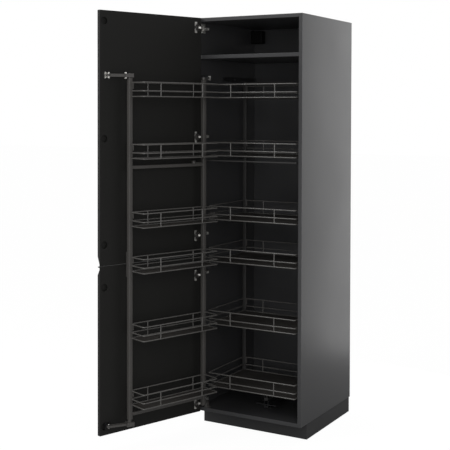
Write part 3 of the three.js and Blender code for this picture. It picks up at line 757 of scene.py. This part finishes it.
def link_arm(z0, z1):
    """A flat arm from the inner post to the frame's pivot, narrower at the pivot.

    The outline is two half circles joined by straight sides, and a ring of it is carried up.
    """
    angle = math.atan2(pivot_plan[1], pivot_plan[0])
    a = np.linspace(-math.pi / 2, math.pi / 2, 13)
    far = pivot_plan + 6.5 * np.column_stack([np.cos(a + angle), np.sin(a + angle)])
    near = POST / 2 * np.column_stack([np.cos(a + angle + math.pi), np.sin(a + angle + math.pi)])
    return slab(np.vstack([far, near]), z0, z1)


front_parts = [*capped(0, 0, FRAME_FOOT, FRAME_HEAD), *capped(POST_SPACING, 0, OUTER_FOOT, FRAME_HEAD)]
for z in (MIDDLE_BAR, FOOT_BAR):
    front_parts.append(square_tube((8, 0, z), (POST_SPACING - 8, 0, z), (14, 16)))
front_parts.append(link_arm(FRAME_HEAD + 1, FRAME_HEAD + 12))
front_parts.append(link_arm(FRAME_FOOT + 1, FRAME_FOOT + 10))
seat = MIDDLE_BAR + 7.8
front_parts.append(plate((10, -6.5, seat), (KNOB_X, 6.5, seat + 3.7)))
knob = [(10, seat), (10, seat + 11.2), (8.5, seat + 13.7), (0.5, seat + 13.7)]
front_parts.append(upright(knob, (KNOB_X, 0)))
piece("front_frame_tubes", front_parts, powder_coat,
      "front_frame_body", ["front_frame"], round_edges=0.4, where=on_front_frame)


# ---- Baskets ----
# Twelve baskets of round coated wire. One wire bent round both near corners runs from post to
# post at each of three heights, short wires join them, and a thin coated sheet lies as a tray.

WIRE = 3.0
BASKET_TOPS = (1742, 1451, 1130, 917, 600, 283)
DROPS = (0, 40, 66)


def rounded_route(points, radius, steps=8):
    """A plan route with each inner corner replaced by an arc, drawn as a quadratic curve."""
    p = np.asarray(points, float)
    t = np.linspace(0, 1, steps)[:, None]
    route = [p[:1]]
    for before, at, after in zip(p[:-2], p[1:-1], p[2:]):
        start = at + (before - at) / np.linalg.norm(before - at) * radius
        end = at + (after - at) / np.linalg.norm(after - at) * radius
        route.append((1 - t) ** 2 * start + 2 * t * (1 - t) * at + t**2 * end)
    route.append(p[-1:])
    return np.vstack(route)


def round_wire(path, radius=WIRE, sides=12):
    """A round wire along a path: a circle across the path's direction at each of its points."""
    path = np.asarray(path, float)
    step = np.gradient(path, axis=0)
    step /= np.linalg.norm(step, axis=1)[:, None]
    steady = np.array([0, 0, 1.0]) if abs(step[0, 2]) < 0.9 else np.array([1.0, 0, 0])
    side = np.cross(step, steady)
    side /= np.linalg.norm(side, axis=1)[:, None]
    other = np.cross(side, step)
    a = np.arange(sides) * 2 * math.pi / sides
    circle = side[:, None] * np.cos(a)[None, :, None] + other[:, None] * np.sin(a)[None, :, None]
    return loft(path[:, None] + radius * circle)


def basket(name, top, left, right_end, near, posts, far, near_shares, far_shares, where, body, node):
    """One basket in the coordinates of its frame: wires, clamps at the posts and the tray."""
    toward = math.copysign(1, near - far)
    clear = POST / 2 + 0.3
    butt = far + toward * clear
    inner = (posts[0] + clear, posts[1] - clear)
    wires = []
    for drop in DROPS:
        z = top - drop
        plan = rounded_route([(left, butt), (left, near), (right_end, near), (right_end, butt)], 9)
        wires.append(round_wire(np.column_stack([plan, np.full(len(plan), z)])))
        wires.append(round_wire([(inner[0], far, z), (inner[1], far, z)]))
    low = top - DROPS[2]
    span = right_end - left
    for y, shares in ((near, near_shares), (far, far_shares)):
        wires += [round_wire([(left + share * span, y, z) for z in (low, top)]) for share in shares]
    clamps = []
    for x, way in ((inner[0], 1), (inner[1], -1)):
        x0, x1 = sorted((x, x + way * 6))
        y0, y1 = sorted((far + toward * 3, far + toward * 10))
        clamps.append(plate((x0, y0, top - 30), (x1, y1, top + 4)))
    z0 = low - WIRE
    corners = [(left, near), (left, butt), (inner[0], butt), (inner[0], far), (inner[1], far),
               (inner[1], butt), (right_end, butt), (right_end, near)]
    tray = slab(corners, z0 + 0.2, z0 + 1.7)
    piece(f"{name}_wires", wires, wire_coat, body, [node],
          where=where)
    piece(f"{name}_clamps", clamps, powder_coat, body,
          round_edges=0.8, where=where)
    piece(f"{name}_tray", [tray], tray_coat, body,
          round_edges=0.4, where=where)


wire_coat = textured("wire_powder_coat", (0.105, 0.101, 0.096), 0.25, 0.0, 0.7, 0.00003, 1500.0)
tray_coat = textured("tray_coat", (0.052, 0.048, 0.044), 0.5, 0.0, 0.4, 0.00008, 1100.0)

rear_low, rear_high = box_mm("rear_basket_1")
REAR_POSTS = (rear_low[0] + 10, rear_high[0] - 10)
rear_far = box_mm("rear_frame")[1][1] - POST / 2
for number, top in enumerate(BASKET_TOPS, 1):
    basket(f"front_basket_{number}", top, -6, POST_SPACING - 6, 107, (0, POST_SPACING), 0, (0.22, 0.78),
           (0.16, 0.78), on_front_frame, "front_frame_body", f"front_basket_{number}")
    basket(f"rear_basket_{number}", top, rear_low[0] + WIRE, rear_high[0] - WIRE, rear_low[1] + WIRE,
           REAR_POSTS, rear_far, (0.26, 0.765), (0.24, 0.76), in_frame, "rear_frame_body",
           f"rear_basket_{number}")


# ---- Rear basket frame ----
# Two square posts joined at head and foot, with one U-shaped bar under the second basket and
# a beam at the foot that stands on the floor runner's slide.

left_post, right_post = REAR_POSTS
REAR_FOOT = 140
REAR_HEAD_BAR = 1757
PROP_TOP = 213
HOOP = 1360
slide_low, slide_high = box_mm("lower_runner_slide")
BEAM_X = (slide_low[0] + slide_high[0]) / 2
SLIDE_FRONT = slide_low[1]
rear_front = rear_low[1] + WIRE
rear_parts = [*capped(left_post, rear_far, REAR_FOOT, FRAME_HEAD),
              *capped(right_post, rear_far, REAR_FOOT, FRAME_HEAD)]
for z in (REAR_HEAD_BAR, REAR_FOOT + 10):
    rear_parts.append(square_tube((left_post, rear_far, z), (right_post, rear_far, z), 14))
hoop = rounded_route([(left_post - 7, rear_far - 4), (left_post - 7, rear_front),
                      (right_post + 7, rear_front), (right_post + 7, rear_far - 4)], 5)
tail = [(left_post - 24, rear_front), (left_post - 12, rear_front), (left_post, rear_front)]
rear_parts += [bar(path, 5, 6, HOOP) for path in (hoop, tail)]
z = REAR_FOOT + 7
rear_parts.append(square_tube((BEAM_X, SLIDE_FRONT, z), (BEAM_X, rear_far - 6, z), (20, 14)))
rear_parts.append(round_wire([(BEAM_X, SLIDE_FRONT + 10, z) for z in (REAR_FOOT + 12, PROP_TOP)], 4))
# The rear frame's coat is the front frame's powder coat made darker: painted shade for the dark inside of
# the cabinet, where the rear frame stands behind the baskets.
shaded_rear_coat = textured("shaded_rear_frame_coat", (0.038, 0.037, 0.036), 0.45, 0.0, 0.4, 0.00005, 1500.0)
piece("rear_frame_tubes", rear_parts, shaded_rear_coat,
      "rear_frame_body", ["rear_frame"], round_edges=0.4)


# ---- Pivots of the front frame ----
# A folded bracket on the left side carries the upper pin over the frame's arm and a plated stop
# for it. A coated block on the bottom board carries the lower, plated pin.

runner_coat = textured("black_runner_coat", (0.016, 0.016, 0.017), 0.4, 0.0, 0.5, 0.00005, 1500.0)


def tongue(base, centre, half_width, z0, z1):
    """A flat tongue from a base point that ends in a half circle about a plan point.

    The outline is the two base corners and an arc of that half width, carried from z0 to z1.
    """
    base, centre = np.asarray(base, float), np.asarray(centre, float)
    way = (centre - base) / np.linalg.norm(centre - base)
    side = np.array([-way[1], way[0]])
    a = np.linspace(-math.pi / 2, math.pi / 2, 13)[:, None]
    tip = centre + half_width * (np.cos(a) * way + np.sin(a) * side)
    return slab(np.vstack([base - half_width * side, tip, base + half_width * side]), z0, z1)


def pin(where, z0, z1, radius, head):
    """A turned pin with a chamfered head at both ends, as radius and height round its axis."""
    half = [(0.3, 0), (head - 0.6, 0), (head, 0.6), (head, 2.6), (radius, 2.6)]
    foot = [(r, z0 + rise) for r, rise in half]
    return upright(foot + [(r, z1 - rise) for r, rise in half[::-1]], where)


low, high = box_mm("upper_pivot_bracket")
wall = low[0]
seat = FRAME_HEAD + 12.6
upper_bracket = [
    plate((wall, low[1], low[2]), (wall + 2.5, high[1], high[2])),
    tongue((wall + 1, frame_pivot[1]), frame_pivot, 9, seat, seat + 3),
    plate((wall + 2, frame_pivot[1] + 6, seat + 2), (wall + 26, frame_pivot[1] + 8.5, seat + 8)),
]
for y, z in ((low[1] + 8, high[2] - 7), (high[1] - 8, high[2] - 7), (high[1] - 8, low[2] + 8)):
    upper_bracket.append(screw_head((wall + 2.4, y, z), 1, 4.0, 1.8))
piece("upper_pivot_plate", upper_bracket, runner_coat, "cabinet",
      ["upper_pivot_bracket"], round_edges=0.5)
upper_pin = pin(frame_pivot, FRAME_HEAD - 1, seat + 6, 3.4, 4.6)
piece("upper_pivot_pin", [upper_pin], runner_coat, "cabinet")
x, y = frame_pivot
stop = [plate((x - 8, y + 5, seat + 0.2), (x + 7, y + 23, seat + 3.2)),
        plate((x - 8, y + 20, seat - 11), (x + 7, y + 23, seat + 11))]
piece("upper_pivot_stop", stop, nickel, "cabinet",
      round_edges=0.5)

low, high = box_mm("lower_pivot_bracket")
seat = FRAME_FOOT - 0.3
lower_bracket = [
    plate((low[0], low[1], low[2]), (high[0], high[1], low[2] + 4)),
    plate((low[0] + 3, low[1] + 2.5, low[2] + 3), (high[0] - 10, high[1] - 2.5, seat - 2)),
    upright([(10, seat - 3), (10, seat - 0.8), (9.2, seat), (0.5, seat)], frame_pivot),
    screw_head((high[0] - 5, low[1] + 6, low[2] + 3.8), 3, 3.6, 1.6),
    screw_head((high[0] - 5, high[1] - 6, low[2] + 3.8), 3, 3.6, 1.6),
]
piece("lower_pivot_block", lower_bracket, powder_coat, "cabinet",
      ["lower_pivot_bracket"], round_edges=0.8)
piece("lower_pivot_pin", [pin(frame_pivot, seat - 1, high[2] + 2, 3.4, 4.4)], nickel,
      "cabinet")


# ---- Telescopic stays ----
# Two stays tie the frame's outer post to the door. Each is a grooved steel bar hinged on a door
# bracket, and it slides in a guide that turns on the post: a folded one above, a carriage below.

stay_from = in_cabinet(joints["stay_rod_turn"]["pos_m"])[:2]
stay_to = in_cabinet(joints["stay_sleeve_turn"]["pos_m"])[:2]
stay_run = np.linalg.norm(stay_to - stay_from)
stay_way = (stay_to - stay_from) / stay_run
stay_side = np.array([-stay_way[1], stay_way[0]])
ON_DOOR = (560, 38)
upper_z = sum(box_mm("upper_stay_rod"))[2] / 2
lower_z = sum(box_mm("lower_stay_bar"))[2] / 2


def grooved(x0, x1, half_width, half_height, groove, depth, z, upright_groove):
    """A bar along X with a groove in its two broad faces: a twelve-point section run from x0 to x1."""
    g, d = groove, depth
    w, h = (half_width, half_height) if upright_groove else (half_height, half_width)
    section = [(-w, -h), (w, -h), (w, -g), (w - d, -g), (w - d, g), (w, g), (w, h), (-w, h), (-w, g),
               (d - w, g), (d - w, -g), (-w, -g)]
    if not upright_groove:
        section = [(y, dz) for dz, y in section]
    return loft([[(x, y, z + dz) for y, dz in section] for x in (x0, x1)])


def box_tube(x0, x1, outer, inner, z):
    """A rectangular tube along X: outer and inner outlines at both ends, joined into one wall."""
    def ring(x, size):
        w, h = size
        return [(x, -w, z - h), (x, w, z - h), (x, w, z + h), (x, -w, z + h)]
    return loft([ring(x0, outer), ring(x1, outer), ring(x1, inner), ring(x0, inner)], closed=True)


def knurled(where, z0, z1, radius, sides=36):
    """A knob with upright flutes: the radius drops by a tenth on every second side."""
    flute = 1 - 0.1 * (np.arange(sides) % 2)
    rim = radius * 0.8
    rings = turned([(rim, z0), (radius, z0 + 1), (radius, z1 - 1), (rim, z1)], (0, 0), sides)
    rings[..., :2] *= flute[None, :, None]
    rings[..., :2] += np.asarray(where, float)
    return loft(rings)


on_rod = placer(stay_from, stay_way, stay_side)
on_sleeve = placer(stay_to, stay_way, stay_side)
rod_end = stay_run + 8
rod = [grooved(3, rod_end, 4, 7, 3.2, 1.0, upper_z, True), drum((0, 0), 7, upper_z, 7, 0.4)]
piece("upper_stay_bar", rod, powder_coat, "stay_rods",
      ["upper_stay_rod"], round_edges=0.5, where=on_rod)
guide = [
    box_tube(-24, 16, (9.5, 9), (7.3, 7.5), upper_z),
    box_tube(-25.2, -23.2, (10.6, 10), (7.3, 7.5), upper_z),
    box_tube(15, 17, (10.6, 10), (7.3, 7.5), upper_z),
    upright([(4, FRAME_HEAD - 10), (4, upper_z - 8.8), (0.5, upper_z - 8.8)], (0, 0)),
    screw_head((0, 0, upper_z + 8.8), 3, 4.2, 2.2),
]
piece("upper_stay_guide", guide, powder_coat, "stay_sleeves",
      ["upper_stay_sleeve"], round_edges=0.4, where=on_sleeve)
knob = [knurled((-20, 0), upper_z + low, upper_z + low + 7, 5.2) for low in (8, -15)]
piece("upper_stay_knobs", knob, nickel, "stay_sleeves",
      where=on_sleeve)

low_bar = [grooved(0, rod_end, 11, 5, 6, 0.9, lower_z, False)]
low_bar += [drum((x, 0), 11, lower_z, 5, 1.2) for x in (0, rod_end)]
piece("lower_stay_channel", low_bar, powder_coat, "stay_rods",
      ["lower_stay_bar"], round_edges=0.6, where=on_rod)
carriage = [
    box_tube(-18, 18, (18.5, 9.6), (14.5, 6.2), lower_z),
    upright([(11.5, lower_z + 9.4), (11.5, lower_z + 11), (9, lower_z + 13), (9, OUTER_FOOT - 0.4),
             (0.5, OUTER_FOOT - 0.4)], (0, 0)),
    pin((0, 0), OUTER_FOOT - 1.2, OUTER_FOOT + 10, 3.6, 3.7),
]
for side in (-1, 1):
    for x in (-11, 11):
        carriage.append(screw_head((x, side * 18.4, lower_z), 2 * side, 3.4, 1.4))
piece("lower_stay_slider", carriage, powder_coat,
      "stay_sleeves", ["lower_stay_carriage"], round_edges=0.6, where=on_sleeve)

for name, z, eye, coat in (("upper", upper_z, 7, nickel), ("lower", lower_z, 5, black_plastic)):
    x, n = ON_DOOR
    bracket = [plate((x - 13, FITTING, z - 15), (x - 7.2, FITTING + 5.5, z + 15)),
               plate((x + 7.2, FITTING, z - 15), (x + 13, FITTING + 5.5, z + 15)),
               plate((x - 8, FITTING, z - eye - 3.4), (x + 8, FITTING + 2.3, z + eye + 3.4)),
               tongue((x, 21.5), (x, n), 7, z + eye + 0.4, z + eye + 3.2),
               tongue((x, 21.5), (x, n), 7, z - eye - 3.2, z - eye - 0.4)]
    for dz in (-10, 10):
        bracket += [screw_head((x + dx, FITTING + 5.4, z + dz), 2, 2.5, 1.2) for dx in (-10.1, 10.1)]
    piece(f"{name}_stay_hinge", bracket, coat, "door",
          [f"{name}_stay_bracket"], round_edges=0.5, where=on_door)
    hinge_pin = pin(ON_DOOR, z - eye - 5.5, z + eye + 5.5, 3, 4.6)
    piece(f"{name}_stay_pin", [hinge_pin], nickel, "door", where=on_door)


# ---- Runners ----
# The rear frame slides on a floor runner and is steadied by a rail high on the left side. The
# rails are rolled steel channels with turned-in lips, and slides and shoe are folded steel.

def channel(low, high, wall, lip, opening):
    """A rolled C along Y: a twelve-point section that opens upwards or towards +X."""
    across, towards = (0, 2) if opening == "up" else (2, 0)
    a0, a1, b0, b1 = low[across], high[across], low[towards], high[towards]
    section = [(a0, b0), (a1, b0), (a1, b1), (a1 - lip, b1), (a1 - lip, b1 - wall), (a1 - wall, b1 - wall),
               (a1 - wall, b0 + wall), (a0 + wall, b0 + wall), (a0 + wall, b1 - wall),
               (a0 + lip, b1 - wall), (a0 + lip, b1), (a0, b1)]
    if opening != "up":
        section = [(x, z) for z, x in section]
    return loft([[(x, y, z) for x, z in section] for y in (low[1], high[1])])


low, high = box_mm("lower_runner_rail")
rail = [channel(low, high, 2.0, 4.0, "up")]
for share in (0.08, 0.5, 0.92):
    rail.append(screw_head((BEAM_X, low[1] + share * (high[1] - low[1]), low[2] + 1.9), 3, 4.0, 1.6))
piece("lower_runner_channel", rail, runner_coat, "cabinet",
      ["lower_runner_rail"], round_edges=0.5)

deck = high[2] + 0.6
top = slide_high[2]
slide = [
    plate((BEAM_X - 11, SLIDE_FRONT + 2, low[2] + 5), (BEAM_X + 11, slide_high[1], low[2] + 15)),
    plate((slide_low[0], SLIDE_FRONT, deck), (slide_high[0], SLIDE_FRONT + 66, deck + 2.5)),
    plate((slide_low[0], SLIDE_FRONT, deck), (slide_high[0], SLIDE_FRONT + 2.5, deck + 4.4)),
]
BACK_UPRIGHT = (321, 359)
for y0, y1 in ((SLIDE_FRONT + 1, SLIDE_FRONT + 25), BACK_UPRIGHT):
    slide += [plate((x, y0, low[2] + 12), (x + 2.5, y1, top)) for x in (BEAM_X - 12, BEAM_X + 9.5)]
    slide.append(plate((BEAM_X - 12, y0, top - 2.5), (BEAM_X + 12, y1, top)))
for x in (slide_low[0] + 9, slide_high[0] - 9):
    for y in (SLIDE_FRONT + 12, SLIDE_FRONT + 54):
        slide.append(screw_head((x, y, deck + 2.4), 3, 4.0, 1.6))
piece("lower_runner_carriage", slide, runner_coat, "rear_frame_body",
      ["lower_runner_slide"], round_edges=0.5)

low, high = box_mm("upper_runner_rail")
rail = [channel(low, high, 2.0, 4.5, "right")]
for share in (0.1, 0.5, 0.9):
    rail.append(screw_head((low[0] + 1.9, low[1] + share * (high[1] - low[1]), (low[2] + high[2]) / 2),
                           1, 3.6, 1.5))
piece("upper_runner_channel", rail, runner_coat, "cabinet",
      ["upper_runner_rail"], round_edges=0.5)

low, high = box_mm("upper_runner_slide")
y = (low[1] + high[1]) / 2
arm = low[0] + 10
shoe = [
    plate((low[0], low[1], high[2] - 10), (arm + 1, high[1], high[2])),
    plate((arm, y - 12, low[2]), (arm + 2.5, y + 12, high[2])),
    plate((arm, y - 12, low[2]), (high[0], y + 12, low[2] + 3)),
    screw_head((left_post, y, low[2] + 2.9), 3, 4.6, 2.0),
]
piece("upper_runner_shoe", shoe, runner_coat, "rear_frame_body",
      ["upper_runner_slide"], round_edges=0.6)
